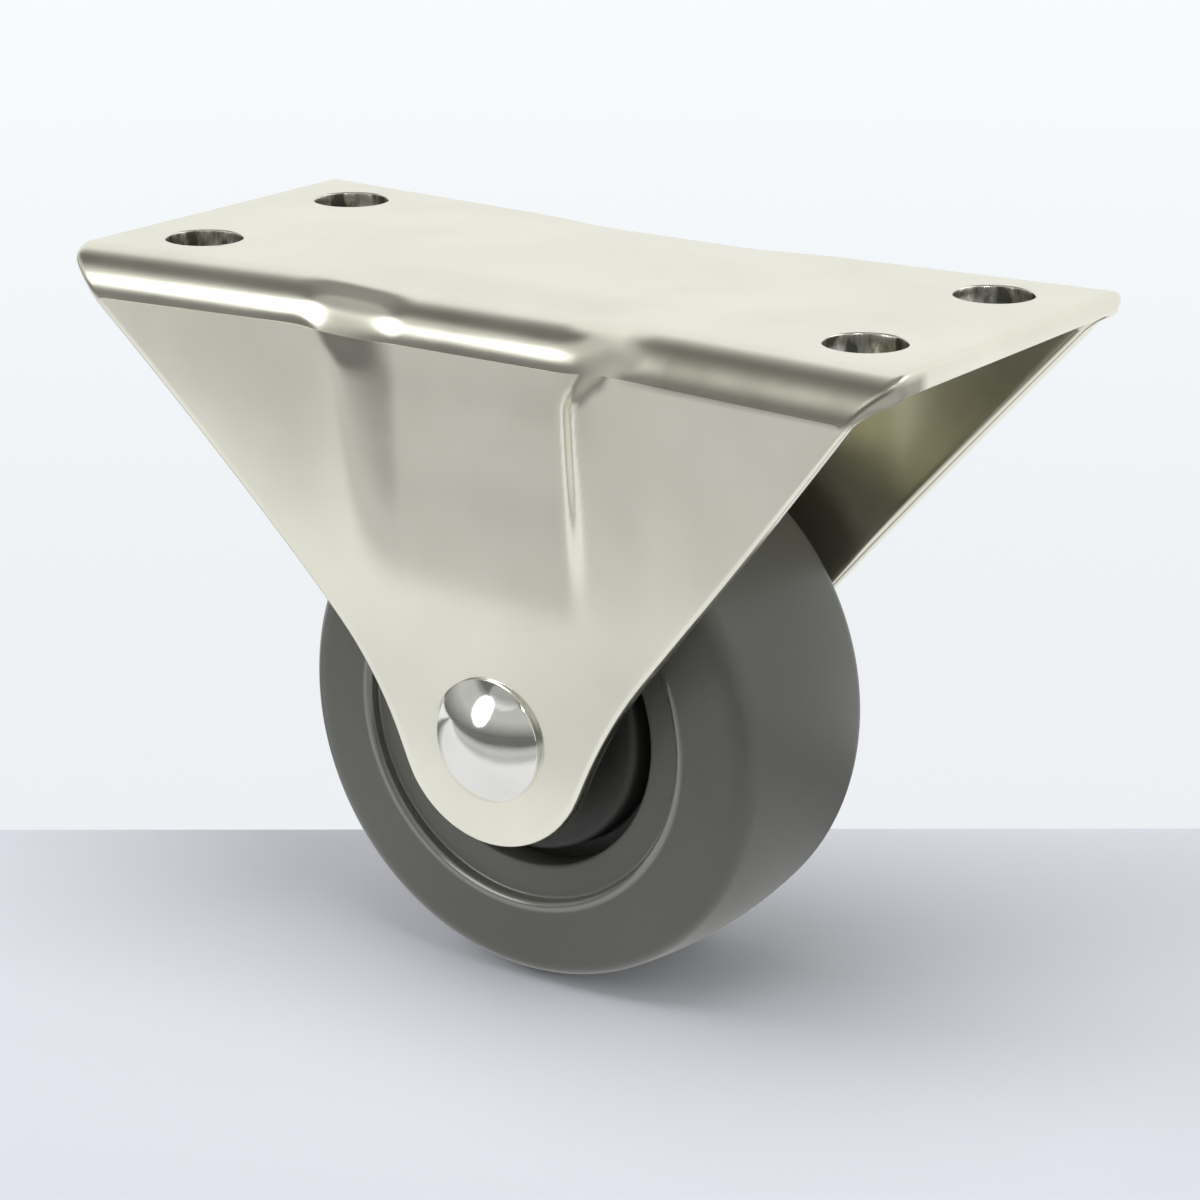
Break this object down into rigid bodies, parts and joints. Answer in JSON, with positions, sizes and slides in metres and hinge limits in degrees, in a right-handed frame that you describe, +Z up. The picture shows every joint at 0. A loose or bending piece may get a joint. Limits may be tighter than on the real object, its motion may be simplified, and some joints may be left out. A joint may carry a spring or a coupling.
{
  "type": "rigid plate castor",
  "caption": "Rigid plate castor: a folded sheet-steel fork with a waisted screw-on plate and two tapering legs that carry a grey wheel on a riveted axle.",
  "frame": {"origin": "Centre of the plate's flat mounting face.", "axes": "+X runs along the plate, the rolling direction. +Y runs along the axle towards the rivet's clenched tail. +Z is up, out of the mounting face. The wheel hangs below, in -Z."},
  "size_m": [0.0886, 0.0434, 0.0666],
  "materials": {
    "zinc_steel": "bright zinc-plated pressed steel, satin",
    "bright_steel": "polished rivet head",
    "dark_plastic": "moulded dark plastic",
    "grey_rubber": "smooth moulded grey rubber"
  },
  "bodies": {
    "frame": {"fork": "zinc_steel", "axle_rivet": "bright_steel", "axle_sleeve": "zinc_steel"},
    "wheel": {"wheel_core": "dark_plastic", "tyre": "grey_rubber"}
  },
  "joints": [
    {"name": "wheel_spin", "type": "hinge", "parent": "frame", "child": "wheel", "pos_m": [0, 0, -0.04125], "axis": [0, 1, 0], "continuous": true}
  ]
}
